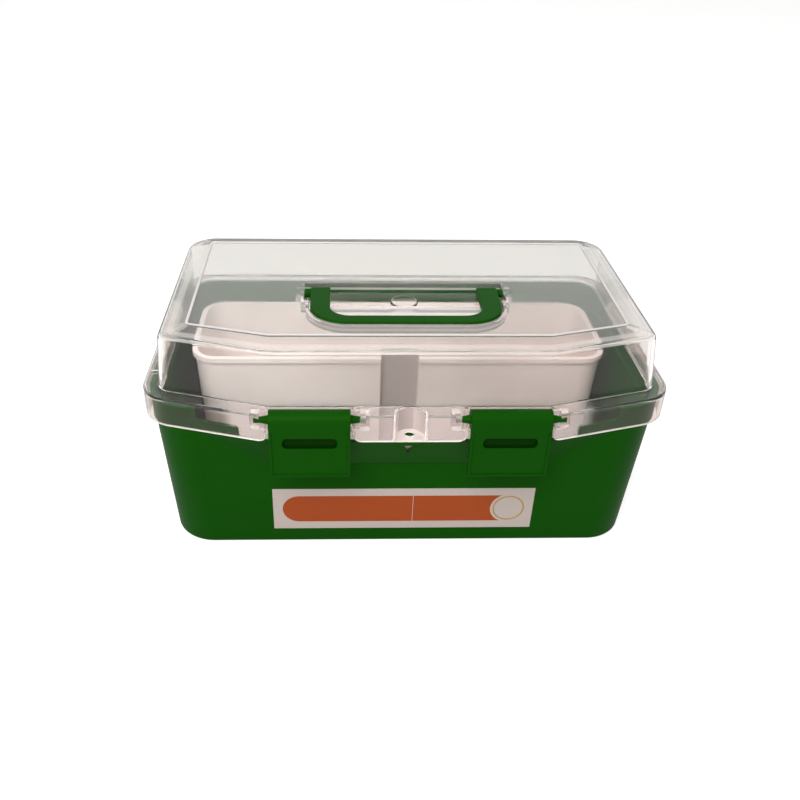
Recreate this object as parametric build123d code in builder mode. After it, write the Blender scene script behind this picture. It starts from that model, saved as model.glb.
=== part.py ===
from build123d import *
import math
import os

# Rigid carry case for specimens: a green tub, a clear hinged lid with a folding handle
# in its top, two front latches, and a white lift-out box that stands in the rear half.
# Millimetres. X runs along the case, -Y is the latch side, +Z is up.
# The origin is the centre of the base, on the surface that the case stands on.

# Lid rim: a flange that overhangs the tub, with a ledge on top
RIM_HALF_LENGTH = 167.5
RIM_FRONT = 100.0
RIM_REAR = 100.0
RIM_BOTTOM_Z = 99.2
RIM_TOP_Z = 118.2
RIM_CORNER_R = 25.0
LID_WALL = 2.2
LEDGE_EDGE_R = 1.8

# Front wings: the front is flat in the middle and turns back towards both ends
WING_START = 87.0
WING_SLOPE = 0.28
WING_KINK_R = 8.0

# Lid dome
DOME_LEDGE_FRONT = 10.7
DOME_LEDGE_SIDE = 10.1
DOME_LEDGE_REAR = 6.5
DOME_HEIGHT = 34.6
DOME_LEAN_FRONT = 6.1
DOME_LEAN_SIDE = 2.4
DOME_LEAN_REAR = 1.5
DOME_FRONT_CORNER_R = 9.0
DOME_REAR_CORNER_R = 20.0
DOME_CREASE_R = 3.6
DOME_FOOT_R = 0.6
PANEL_RISE = 3.8
PANEL_INSET_FRONT = 13.2
PANEL_INSET_SIDE = 16.5
PANEL_INSET_REAR = 17.0
PANEL_CORNER_R = 4.0
BEAD_WIDTH = 2.0
BEAD_HEIGHT = 0.7
BEAD_R = 0.65

# Handle and the recess that it folds into
HANDLE_HALF_LENGTH = 62.0
HANDLE_ARM_WIDTH = 12.8
HANDLE_THICKNESS = 5.0
HANDLE_BAR_DEPTH = 9.8
HANDLE_REACH = 48.8
HANDLE_OUTER_R = 24.0
HANDLE_INNER_R = 13.0
HANDLE_EYE_R = 3.9
HANDLE_EDGE_R = 1.0
HANDLE_PROUD = 0.7
HANDLE_PIVOT_Y = -4.5
HANDLE_PIN_R = 3.0
HANDLE_PIN_LENGTH = 9.0
HANDLE_PIN_CLEARANCE = 0.06
RECESS_END_GAP = 4.2
RECESS_REAR_GAP = 9.5
RECESS_NEST_GAP = 0.9
RECESS_RIM_R = 0.6
RECESS_FLOOR_GAP = 0.4
RECESS_DEEP_LENGTH = 16.0
RECESS_CORNER_R = 3.0
EAR_LENGTH = 6.0
EAR_RADIUS = 5.4
GATE_DISC_R = 9.2
GATE_DISC_HEIGHT = 1.4
GATE_DISC_EDGE_R = 1.1
GATE_DISC_MARGIN = 1.0

# Latches
LATCH_X = 61.25
LATCH_WIDTH = 49.5
LATCH_BARREL_R = 6.3
LATCH_PIVOT_DROP = 4.2
LATCH_PIVOT_INSET = 3.0
LATCH_PLATE = 2.8
LATCH_LENGTH = 38.7
LATCH_CORNER_R = 1.5
LATCH_SLOT_WIDTH = 33.5
LATCH_SLOT_HEIGHT = 7.4
LATCH_SLOT_CORNER_R = 3.0
LATCH_SLOT_DROP = 13.7
LATCH_SLOT_DEPTH = 2.0
LATCH_LIP = 0.7
LATCH_LIP_WIDTH = 1.6
LATCH_NECK_R = 2.9
LATCH_NECK_LENGTH = 5.0
LATCH_TIP_R = 2.0
LATCH_TIP_LENGTH = 4.0
LATCH_TIP_CLEARANCE = 0.06
LATCH_SIDE_GAP = 0.8
LATCH_BACK_GAP = 1.4
NOTCH_CORNER_R = 6.5
WINDOW_DEPTH = 5.0
LUG_WIDTH = 5.6
LUG_BACK = 5.0

# Padlock hasp in the middle of the front
NICHE_R = 8.85
NICHE_CENTRE_INSET = 2.5
NICHE_WALL = 2.0
HASP_HOLE_R = 3.35
HASP_HOLE_INSET = 7.0
HASP_TAB_THICKNESS = 2.4
HASP_TAB_HALF_WIDTH = 8.0
HASP_GROOVE_DROP = 11.0

# Tub
TUB_WALL = 2.5
TUB_FLOOR = 2.5
TUB_RIM_Z = 113.6
TUB_GAP_SIDE = 1.3
TUB_GAP_FRONT = 1.8
TUB_GAP_REAR = 1.3
TUB_BASE_INSET_SIDE = 7.0
TUB_BASE_INSET_REAR = 6.5
TUB_WALL_FRONT_TOP = 82.5
TUB_BASE_FRONT = 79.0
TUB_CORNER_R = 28.0
TUB_BASE_EDGE_R = 2.5
BELT_BOTTOM_Z = 70.0
BELT_KNEE_Z = 97.0
RIM_MIDDLE_Z = 96.5
RIM_MIDDLE_HALF = 105.0
RIM_WING_Z = 104.6
RIM_WING_HALF = 132.0
RIM_STEP_R = 3.0
REAR_STRIP_HALF = 99.5
REAR_STRIP_HEIGHT = 2.0
CATCH_WIDTH = 30.0
CATCH_HEIGHT = 4.0
CATCH_Z = 91.0
CATCH_GAP = 0.3

# Rear hinge
HINGE_ROD_R = 1.5
HINGE_BARREL_R = 3.6
HINGE_HALF_LENGTH = 100.0
HINGE_POST_WIDTH = 8.0
HINGE_MIDDLE_WIDTH = 12.0
HINGE_SETBACK = 3.0
HINGE_RISE = 1.8
HINGE_END_GAP = 0.3
HINGE_RUNNING_GAP = 0.05
HINGE_SEAT_GAP = 0.02
HINGE_NOTCH_GAP = 1.6
HINGE_ARM_DROP = 16.0

# Ribs under the lid's ledge that rest over the tub's rim
SEAT_RIB_WIDTH = 1.6
SEAT_RIB_PITCH = 45.0
SEAT_RIB_COUNT = 3
SEAT_GAP = 0.3

# White lift-out box in the rear half
BOX_SIDE_GAP = 15.0
BOX_REAR_GAP = 11.0
BOX_DEPTH = 81.5
BOX_TOP_Z = 101.0
BOX_DRAFT_INSET = 3.0
BOX_WALL = 2.0
BOX_CORNER_R = 16.0
BOX_FLOOR_GAP = 0.3
BOX_RIM_WIDTH = 1.8
BOX_RIM_HEIGHT = 3.5
BOX_GRIP_HALF = 13.5
BOX_GRIP_DEPTH = 2.4
BOX_GRIP_BOTTOM_Z = 22.0

# Label on the front
LABEL_LENGTH = 175.5
LABEL_HEIGHT = 35.0
LABEL_CENTRE_Z = 29.75
LABEL_THICKNESS = 0.25
LABEL_CORNER_R = 0.6

# Edges and corners count as level when their coordinates agree to this
LEVEL_TOLERANCE = 0.01

# An outline moved inwards keeps at least this corner radius
LEAST_CORNER_R = 1.0

# Places worked out from the sizes above
CREASE_Z = RIM_TOP_Z + DOME_HEIGHT
PANEL_Z = CREASE_Z + PANEL_RISE
DOME_FRONT = RIM_FRONT - DOME_LEDGE_FRONT
DOME_HALF_LENGTH = RIM_HALF_LENGTH - DOME_LEDGE_SIDE
DOME_REAR = RIM_REAR - DOME_LEDGE_REAR
CREASE_FRONT = DOME_FRONT - DOME_LEAN_FRONT
CREASE_HALF_LENGTH = DOME_HALF_LENGTH - DOME_LEAN_SIDE
CREASE_REAR = DOME_REAR - DOME_LEAN_REAR
PANEL_FRONT = CREASE_FRONT - PANEL_INSET_FRONT
PANEL_HALF_LENGTH = CREASE_HALF_LENGTH - PANEL_INSET_SIDE
PANEL_REAR = CREASE_REAR - PANEL_INSET_REAR

HANDLE_TOP_Z = PANEL_Z + HANDLE_PROUD
HANDLE_PIVOT_Z = HANDLE_TOP_Z - HANDLE_EYE_R
HANDLE_UNDER_Z = HANDLE_TOP_Z - HANDLE_THICKNESS
HANDLE_FRONT_Y = HANDLE_PIVOT_Y - HANDLE_REACH
RECESS_HALF_LENGTH = HANDLE_HALF_LENGTH + RECESS_END_GAP
RECESS_REAR_Y = HANDLE_PIVOT_Y + RECESS_REAR_GAP
RECESS_NEST_Z = HANDLE_UNDER_Z - RECESS_FLOOR_GAP
RECESS_DEEP_Z = HANDLE_PIVOT_Z - HANDLE_EYE_R - RECESS_FLOOR_GAP
RECESS_STEP_Y = HANDLE_PIVOT_Y - RECESS_DEEP_LENGTH

LATCH_PIVOT_Y = -RIM_FRONT + LATCH_PIVOT_INSET
LATCH_PIVOT_Z = RIM_TOP_Z - LATCH_PIVOT_DROP
LATCH_FRONT_Y = LATCH_PIVOT_Y - LATCH_BARREL_R
LATCH_INNER_Y = LATCH_FRONT_Y + LATCH_PLATE
LATCH_SLOT_Z = LATCH_PIVOT_Z - LATCH_SLOT_DROP
LATCH_BOTTOM_Z = LATCH_PIVOT_Z - LATCH_LENGTH

TUB_HALF_LENGTH = RIM_HALF_LENGTH - LID_WALL - TUB_GAP_SIDE
TUB_FRONT = RIM_FRONT - LID_WALL - TUB_GAP_FRONT
TUB_REAR = RIM_REAR - LID_WALL - TUB_GAP_REAR
BELT_TAPER = math.degrees(math.atan2(TUB_FRONT - TUB_WALL_FRONT_TOP, BELT_KNEE_Z - BELT_BOTTOM_Z))

BOX_HALF_LENGTH = TUB_HALF_LENGTH - TUB_WALL - BOX_SIDE_GAP
BOX_REAR = TUB_REAR - TUB_WALL - BOX_REAR_GAP
BOX_FRONT = BOX_REAR - BOX_DEPTH

HINGE_Y = RIM_REAR + HINGE_SETBACK
HINGE_Z = RIM_BOTTOM_Z + HINGE_RISE
HASP_HOLE_Y = -RIM_FRONT + HASP_HOLE_INSET


def winged_outline(half_length, front, rear, corner_r, rear_r, kink_r, inset=0.0):
    """A plan outline with a flat front middle and two wings, moved inwards by inset."""
    kink_angle = math.atan(WING_SLOPE)
    start = WING_START - inset * math.tan(kink_angle / 2)
    side = half_length - inset
    front_y = -front + inset
    corner_y = front_y + WING_SLOPE * (side - start)
    rear_y = rear - inset
    with BuildSketch() as outline:
        with BuildLine():
            Polyline(
                (-start, front_y), (start, front_y), (side, corner_y),
                (side, rear_y), (-side, rear_y), (-side, corner_y), close=True,
            )
        make_face()
        fillet(outline.vertices().group_by(Axis.Y)[-1], max(rear_r - inset, LEAST_CORNER_R))
        corners = outline.vertices().filter_by(
            lambda v: abs(v.Y - corner_y) < LEVEL_TOLERANCE
            and abs(abs(v.X) - side) < LEVEL_TOLERANCE)
        fillet(corners, max(corner_r - inset, LEAST_CORNER_R))
        kinks = outline.vertices().filter_by(
            lambda v: abs(v.Y - front_y) < LEVEL_TOLERANCE
            and abs(abs(v.X) - start) < LEVEL_TOLERANCE)
        fillet(kinks, kink_r)
    return outline.sketch


def rounded_outline(half_length, front_y, rear_y, corner_r):
    """A plain rounded rectangle between two Y values, centred on X."""
    with BuildSketch() as outline:
        with Locations((0, (front_y + rear_y) / 2)):
            RectangleRounded(2 * half_length, rear_y - front_y, corner_r)
    return outline.sketch


def dome_solid(inset, depth):
    """The dome above the ledge as a closed solid, moved inwards and down by inset."""
    foot = winged_outline(DOME_HALF_LENGTH, DOME_FRONT, DOME_REAR,
                          DOME_FRONT_CORNER_R, DOME_REAR_CORNER_R, WING_KINK_R, inset)
    crease = winged_outline(CREASE_HALF_LENGTH, CREASE_FRONT, CREASE_REAR,
                            DOME_FRONT_CORNER_R, DOME_REAR_CORNER_R, WING_KINK_R, inset)
    panel = winged_outline(PANEL_HALF_LENGTH, PANEL_FRONT, PANEL_REAR,
                           PANEL_CORNER_R, PANEL_CORNER_R, WING_KINK_R, inset / 2)
    crease_z = CREASE_Z - inset
    with BuildPart() as dome:
        with BuildSketch(Plane.XY.offset(RIM_TOP_Z)):
            add(foot)
        with BuildSketch(Plane.XY.offset(crease_z)):
            add(crease)
        loft(ruled=True)
        with BuildSketch(Plane.XY.offset(crease_z)):
            add(crease)
        with BuildSketch(Plane.XY.offset(PANEL_Z - inset)):
            add(panel)
        loft(ruled=True)
        with BuildSketch(Plane.XY.offset(RIM_TOP_Z)):
            add(foot)
        extrude(amount=-depth)
        crease_edges = dome.edges().filter_by(
            lambda e: abs(e.bounding_box().min.Z - crease_z) < LEVEL_TOLERANCE
            and abs(e.bounding_box().max.Z - crease_z) < LEVEL_TOLERANCE)
        fillet(crease_edges, DOME_CREASE_R - inset)
    return dome.part


def tub_solid(inset, base_z, top_z):
    """The tub as a closed solid: a drafted box joined to the flared front belt."""
    base_side = TUB_HALF_LENGTH - TUB_BASE_INSET_SIDE - inset
    base_rear = TUB_REAR - TUB_BASE_INSET_REAR - inset
    belt_inset = inset / math.cos(math.radians(BELT_TAPER))
    knee = winged_outline(TUB_HALF_LENGTH, TUB_FRONT, TUB_REAR,
                          RIM_CORNER_R, TUB_CORNER_R, WING_KINK_R, inset)
    flare = winged_outline(TUB_HALF_LENGTH, TUB_FRONT, TUB_REAR,
                           RIM_CORNER_R, TUB_CORNER_R, WING_KINK_R, belt_inset)
    with BuildPart() as tub_body:
        with BuildSketch(Plane.XY.offset(base_z)):
            add(rounded_outline(base_side, -TUB_BASE_FRONT + inset, base_rear,
                                TUB_CORNER_R - inset))
        with BuildSketch(Plane.XY.offset(TUB_RIM_Z)):
            add(rounded_outline(TUB_HALF_LENGTH - inset, -TUB_WALL_FRONT_TOP + inset,
                                TUB_REAR - inset, TUB_CORNER_R - inset))
        loft(ruled=True)
        with BuildSketch(Plane.XY.offset(BELT_KNEE_Z)):
            add(flare)
        extrude(amount=-(BELT_KNEE_Z - BELT_BOTTOM_Z), taper=BELT_TAPER)
        with BuildSketch(Plane.XY.offset(BELT_KNEE_Z)):
            add(knee)
        extrude(amount=top_z - BELT_KNEE_Z)
    return tub_body.part


def rim_outline(inset=0.0):
    """The lid's rim in plan, moved inwards by inset."""
    return winged_outline(RIM_HALF_LENGTH, RIM_FRONT, RIM_REAR,
                          RIM_CORNER_R, RIM_CORNER_R, WING_KINK_R, inset)


def panel_outline(inset=0.0):
    """The flat top panel in plan, moved inwards by inset."""
    return winged_outline(PANEL_HALF_LENGTH, PANEL_FRONT, PANEL_REAR,
                          PANEL_CORNER_R, PANEL_CORNER_R, WING_KINK_R, inset)


def block(x_range, y_range, z_range, mode=Mode.ADD):
    """A box between two corners, made in the part that is being built."""
    with Locations(((x_range[0] + x_range[1]) / 2, (y_range[0] + y_range[1]) / 2,
                    (z_range[0] + z_range[1]) / 2)):
        Box(x_range[1] - x_range[0], y_range[1] - y_range[0], z_range[1] - z_range[0],
            mode=mode)


def rod_along_x(x_range, y, z, radius, mode=Mode.ADD):
    """A cylinder along X between two X values, made in the part that is being built."""
    with Locations(Location(((x_range[0] + x_range[1]) / 2, y, z), (0, 90, 0))):
        Cylinder(radius, x_range[1] - x_range[0], mode=mode)


def nest_outline(margin):
    """The folded handle's outer outline in plan, grown by margin, up to the recess's rear."""
    half = HANDLE_HALF_LENGTH + margin
    front = HANDLE_FRONT_Y - margin
    with BuildSketch() as outline:
        with BuildLine():
            Polyline((-half, RECESS_REAR_Y), (-half, front), (half, front),
                     (half, RECESS_REAR_Y), close=True)
        make_face()
        fillet(outline.vertices().group_by(Axis.Y)[0], HANDLE_OUTER_R + margin)
    return outline.sketch


def add_recess(grow, top_z):
    """The steps of the handle recess. grow 0 cuts them, a wall's thickness backs them."""
    mode = Mode.ADD if grow else Mode.SUBTRACT
    with BuildSketch(Plane.XY.offset(RECESS_NEST_Z - grow)) as nest:
        add(nest_outline(RECESS_NEST_GAP + grow))
    extrude(nest.sketch, amount=top_z - RECESS_NEST_Z + grow, mode=mode)
    block((-RECESS_HALF_LENGTH - grow, RECESS_HALF_LENGTH + grow),
          (RECESS_STEP_Y - grow, RECESS_REAR_Y + grow),
          (RECESS_DEEP_Z - grow, top_z), mode=mode)


# Distances along X from a latch's middle, the same on both sides of it
LATCH_END = LATCH_WIDTH / 2
POCKET_END = LATCH_END + LATCH_SIDE_GAP
WINDOW_END = LATCH_END + LATCH_NECK_LENGTH + LATCH_SIDE_GAP
LUG_END = WINDOW_END + LUG_WIDTH
POCKET_BACK_Y = LATCH_PIVOT_Y + LATCH_BARREL_R + LATCH_BACK_GAP
WINDOW_BACK_Y = LATCH_PIVOT_Y + LUG_BACK
WINDOW_Z = LATCH_PIVOT_Z - WINDOW_DEPTH
LEDGE_UNDER_Z = RIM_TOP_Z - LID_WALL

# The lid's hinge barrel runs between the tub's middle knuckle and its two end posts
BARREL_START = HINGE_MIDDLE_WIDTH / 2 + HINGE_END_GAP
BARREL_END = HINGE_HALF_LENGTH - HINGE_POST_WIDTH - HINGE_END_GAP
KNUCKLES = (
    (-HINGE_HALF_LENGTH, -HINGE_HALF_LENGTH + HINGE_POST_WIDTH),
    (-HINGE_MIDDLE_WIDTH / 2, HINGE_MIDDLE_WIDTH / 2),
    (HINGE_HALF_LENGTH - HINGE_POST_WIDTH, HINGE_HALF_LENGTH),
)


# Clear lid: one thin moulding with a rim, a dome and a recess for the handle
with BuildPart() as lid:
    with BuildSketch(Plane.XY.offset(RIM_BOTTOM_Z)):
        add(rim_outline())
    extrude(amount=RIM_TOP_Z - RIM_BOTTOM_Z)
    fillet(lid.faces().sort_by(Axis.Z)[-1].edges(), LEDGE_EDGE_R)
    add(dome_solid(0.0, LID_WALL))
    ledge = lid.faces().filter_by(Plane.XY).filter_by(
        lambda f: abs(f.center().Z - RIM_TOP_Z) < LEVEL_TOLERANCE)[0]
    fillet(ledge.inner_wires()[0].edges(), DOME_FOOT_R)
    with BuildSketch(Plane.XY.offset(PANEL_Z)):
        add(panel_outline())
        add(panel_outline(BEAD_WIDTH), mode=Mode.SUBTRACT)
    extrude(amount=BEAD_HEIGHT)
    fillet(lid.faces().sort_by(Axis.Z)[-1].edges(), BEAD_R)
    with BuildSketch(Plane.XY.offset(RIM_BOTTOM_Z)):
        add(rim_outline(LID_WALL))
    extrude(amount=LEDGE_UNDER_Z - RIM_BOTTOM_Z, mode=Mode.SUBTRACT)
    add(dome_solid(LID_WALL, RIM_TOP_Z - RIM_BOTTOM_Z), mode=Mode.SUBTRACT)

    # The recess is a basin under the panel, with an ear at each end for the handle's pins
    add_recess(LID_WALL, PANEL_Z - LID_WALL / 2)
    for side in (-1, 1):
        ear = sorted((side * RECESS_HALF_LENGTH, side * (RECESS_HALF_LENGTH + EAR_LENGTH)))
        block(ear, (HANDLE_PIVOT_Y - EAR_RADIUS, HANDLE_PIVOT_Y + EAR_RADIUS),
              (HANDLE_PIVOT_Z - EAR_RADIUS, PANEL_Z - LID_WALL / 2))
    add_recess(0.0, PANEL_Z + BEAD_HEIGHT)
    pin_hole_end = HANDLE_HALF_LENGTH + HANDLE_PIN_LENGTH + SEAT_GAP
    rod_along_x((-pin_hole_end, pin_hole_end), HANDLE_PIVOT_Y, HANDLE_PIVOT_Z,
                HANDLE_PIN_R + HANDLE_PIN_CLEARANCE, mode=Mode.SUBTRACT)
    with BuildSketch(Plane.XY.offset(RECESS_DEEP_Z)):
        with Locations((0, RECESS_STEP_Y + GATE_DISC_MARGIN + GATE_DISC_R)):
            Circle(GATE_DISC_R)
    extrude(amount=GATE_DISC_HEIGHT)
    disc_edges = lid.edges().filter_by(GeomType.CIRCLE).filter_by(
        lambda e: abs(e.radius - GATE_DISC_R) < LEVEL_TOLERANCE
        and abs(e.arc_center.Z - RECESS_DEEP_Z - GATE_DISC_HEIGHT) < LEVEL_TOLERANCE)
    fillet(disc_edges, GATE_DISC_EDGE_R)

    # The recess has a soft rim, level with the panel
    recess_rim = lid.edges().filter_by(
        lambda e: abs(e.bounding_box().min.Z - PANEL_Z) < LEVEL_TOLERANCE
        and abs(e.bounding_box().max.Z - PANEL_Z) < LEVEL_TOLERANCE
        and abs(e.center().X) < RECESS_HALF_LENGTH + RECESS_RIM_R
        and HANDLE_FRONT_Y - HANDLE_THICKNESS < e.center().Y < RECESS_REAR_Y + RECESS_RIM_R)
    fillet(recess_rim, RECESS_RIM_R)

    # Each latch hangs in a pocket through the ledge and the rim
    for middle in (-LATCH_X, LATCH_X):
        block((middle - LUG_END, middle + LUG_END),
              (-RIM_FRONT + LID_WALL, WINDOW_BACK_Y + LID_WALL),
              (WINDOW_Z - LID_WALL, LEDGE_UNDER_Z))
        block((middle - POCKET_END - LID_WALL, middle + POCKET_END + LID_WALL),
              (-RIM_FRONT + LID_WALL, POCKET_BACK_Y + LID_WALL),
              (RIM_BOTTOM_Z, LEDGE_UNDER_Z))
        block((middle - POCKET_END, middle + POCKET_END), (-RIM_FRONT, POCKET_BACK_Y),
              (RIM_BOTTOM_Z, RIM_TOP_Z), mode=Mode.SUBTRACT)
        block((middle - WINDOW_END, middle + WINDOW_END), (-RIM_FRONT, WINDOW_BACK_Y),
              (WINDOW_Z, RIM_TOP_Z), mode=Mode.SUBTRACT)
        tip_end = LATCH_END + LATCH_NECK_LENGTH + LATCH_TIP_LENGTH + SEAT_GAP
        rod_along_x((middle - tip_end, middle + tip_end), LATCH_PIVOT_Y, LATCH_PIVOT_Z,
                    LATCH_TIP_R + LATCH_TIP_CLEARANCE, mode=Mode.SUBTRACT)
        for side in (-1, 1):
            corner_x = middle + side * POCKET_END
            round_x = corner_x + side * NOTCH_CORNER_R
            with BuildSketch(Plane.XZ.offset(RIM_FRONT)):
                with Locations(((corner_x + round_x) / 2, RIM_BOTTOM_Z + NOTCH_CORNER_R / 2)):
                    Rectangle(NOTCH_CORNER_R, NOTCH_CORNER_R)
                with Locations((round_x, RIM_BOTTOM_Z + NOTCH_CORNER_R)):
                    Circle(NOTCH_CORNER_R, mode=Mode.SUBTRACT)
            extrude(amount=-(RIM_FRONT + POCKET_BACK_Y + LID_WALL), mode=Mode.SUBTRACT)

    # The hasp is a half-round niche with a holed floor level with the rim's lower edge
    niche_y = -RIM_FRONT + NICHE_CENTRE_INSET
    niche_cut = 2 * (NICHE_R + NICHE_WALL)
    with BuildSketch(Plane.XY.offset(RIM_BOTTOM_Z)):
        with Locations((0, niche_y)):
            Circle(NICHE_R + NICHE_WALL)
        with Locations((0, -RIM_FRONT)):
            Rectangle(niche_cut, niche_cut, align=(Align.CENTER, Align.MAX), mode=Mode.SUBTRACT)
    extrude(amount=LEDGE_UNDER_Z - RIM_BOTTOM_Z)
    with BuildSketch(Plane.XY.offset(RIM_BOTTOM_Z + NICHE_WALL)):
        with Locations((0, niche_y)):
            Circle(NICHE_R)
    extrude(amount=RIM_TOP_Z - RIM_BOTTOM_Z - NICHE_WALL, mode=Mode.SUBTRACT)
    with BuildSketch(Plane.XY.offset(RIM_BOTTOM_Z)):
        with Locations((0, HASP_HOLE_Y)):
            Circle(HASP_HOLE_R)
    extrude(amount=NICHE_WALL, mode=Mode.SUBTRACT)

    # The hinge barrel along the rear, and the gaps in the rim for the tub's knuckles
    for ends in ((-BARREL_END, -BARREL_START), (BARREL_START, BARREL_END)):
        block(ends, (RIM_REAR - LID_WALL / 2, HINGE_Y), (RIM_BOTTOM_Z, HINGE_Z + HINGE_BARREL_R))
        rod_along_x(ends, HINGE_Y, HINGE_Z, HINGE_BARREL_R)
    for start, end in KNUCKLES:
        block((start - HINGE_END_GAP, end + HINGE_END_GAP), (RIM_REAR - 2 * LID_WALL, RIM_REAR),
              (RIM_BOTTOM_Z, HINGE_Z + HINGE_BARREL_R + HINGE_NOTCH_GAP), mode=Mode.SUBTRACT)
    rod_along_x((-HINGE_HALF_LENGTH, HINGE_HALF_LENGTH), HINGE_Y, HINGE_Z,
                HINGE_ROD_R + HINGE_RUNNING_GAP, mode=Mode.SUBTRACT)

    # Short ribs under the ledge rest over the tub's rim
    rib_depth = RIM_TOP_Z - TUB_RIM_Z - SEAT_GAP - LID_WALL / 2
    for side in (-1, 1):
        inner_x = side * (DOME_HALF_LENGTH - LID_WALL / 2)
        outer_x = side * (RIM_HALF_LENGTH - LID_WALL / 2)
        with BuildSketch(Plane.XY.offset(TUB_RIM_Z + SEAT_GAP)):
            with Locations(((inner_x + outer_x) / 2, 0)):
                with GridLocations(0, SEAT_RIB_PITCH, 1, SEAT_RIB_COUNT):
                    Rectangle(abs(outer_x - inner_x), SEAT_RIB_WIDTH)
        extrude(amount=rib_depth)


# Green tub
with BuildPart() as tub:
    add(tub_solid(0.0, 0.0, TUB_RIM_Z))
    fillet(tub.faces().sort_by(Axis.Z)[0].edges(), TUB_BASE_EDGE_R)
    add(tub_solid(TUB_WALL, TUB_FLOOR, TUB_RIM_Z + TUB_WALL), mode=Mode.SUBTRACT)

    # The rim steps down twice towards the middle of the front
    with BuildSketch(Plane.XZ.offset(TUB_WALL_FRONT_TOP - TUB_CORNER_R)) as rim_cut:
        with BuildLine():
            Polyline(
                (-RIM_WING_HALF, RIM_TOP_Z), (-RIM_WING_HALF, RIM_WING_Z),
                (-RIM_MIDDLE_HALF, RIM_WING_Z), (-RIM_MIDDLE_HALF, RIM_MIDDLE_Z),
                (RIM_MIDDLE_HALF, RIM_MIDDLE_Z), (RIM_MIDDLE_HALF, RIM_WING_Z),
                (RIM_WING_HALF, RIM_WING_Z), (RIM_WING_HALF, RIM_TOP_Z), close=True,
            )
        make_face()
        fillet(rim_cut.vertices().filter_by(lambda v: v.Y < TUB_RIM_Z), RIM_STEP_R)
    extrude(amount=RIM_FRONT - TUB_WALL_FRONT_TOP + TUB_CORNER_R, mode=Mode.SUBTRACT)
    block((-REAR_STRIP_HALF, REAR_STRIP_HALF), (TUB_REAR - TUB_WALL, TUB_REAR),
          (TUB_RIM_Z - TUB_WALL, TUB_RIM_Z + REAR_STRIP_HEIGHT))

    # A catch bar behind each latch
    for middle in (-LATCH_X, LATCH_X):
        block((middle - CATCH_WIDTH / 2, middle + CATCH_WIDTH / 2),
              (LATCH_INNER_Y + CATCH_GAP, -TUB_FRONT + 2 * TUB_WALL),
              (CATCH_Z - CATCH_HEIGHT / 2, CATCH_Z + CATCH_HEIGHT / 2))

    # The hasp tab has a hole under the lid's, and a notch below it lets a shackle out
    tab_bottom_z = RIM_MIDDLE_Z - HASP_TAB_THICKNESS
    with BuildSketch(Plane.XY.offset(tab_bottom_z)):
        with Locations((0, -TUB_FRONT - TUB_GAP_FRONT / 2)):
            Rectangle(2 * HASP_TAB_HALF_WIDTH, HASP_HOLE_INSET + 2 * HASP_TAB_THICKNESS,
                      align=(Align.CENTER, Align.MIN))
    extrude(amount=HASP_TAB_THICKNESS)
    with BuildSketch(Plane.XY.offset(tab_bottom_z)):
        with Locations((0, HASP_HOLE_Y)):
            Circle(HASP_HOLE_R)
    extrude(amount=HASP_TAB_THICKNESS, mode=Mode.SUBTRACT)
    with BuildSketch(Plane.XZ.offset(TUB_WALL_FRONT_TOP - TUB_WALL)):
        with BuildLine():
            Polyline((-HASP_HOLE_R - NICHE_WALL, tab_bottom_z), (HASP_HOLE_R + NICHE_WALL, tab_bottom_z),
                     (0, tab_bottom_z - HASP_GROOVE_DROP), close=True)
        make_face()
    extrude(amount=RIM_FRONT - TUB_WALL_FRONT_TOP, mode=Mode.SUBTRACT)

    # Hinge knuckles on the rear wall, each on a gusset
    for start, end in KNUCKLES:
        with BuildSketch(Plane.YZ.offset(start)):
            with BuildLine():
                Polyline(
                    (TUB_REAR - TUB_WALL, HINGE_Z - HINGE_ARM_DROP),
                    (HINGE_Y + HINGE_BARREL_R, HINGE_Z - HINGE_RISE),
                    (HINGE_Y, HINGE_Z),
                    (TUB_REAR - TUB_WALL, HINGE_Z - HINGE_RISE),
                    close=True,
                )
            make_face()
        extrude(amount=end - start)
        rod_along_x((start, end), HINGE_Y, HINGE_Z, HINGE_BARREL_R)
    rod_along_x((-HINGE_HALF_LENGTH, HINGE_HALF_LENGTH), HINGE_Y, HINGE_Z,
                HINGE_ROD_R + HINGE_SEAT_GAP, mode=Mode.SUBTRACT)


# Steel rod through the knuckles and the lid's barrel
with BuildPart() as hinge_rod:
    rod_along_x((-HINGE_HALF_LENGTH, HINGE_HALF_LENGTH), HINGE_Y, HINGE_Z, HINGE_ROD_R)


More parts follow.
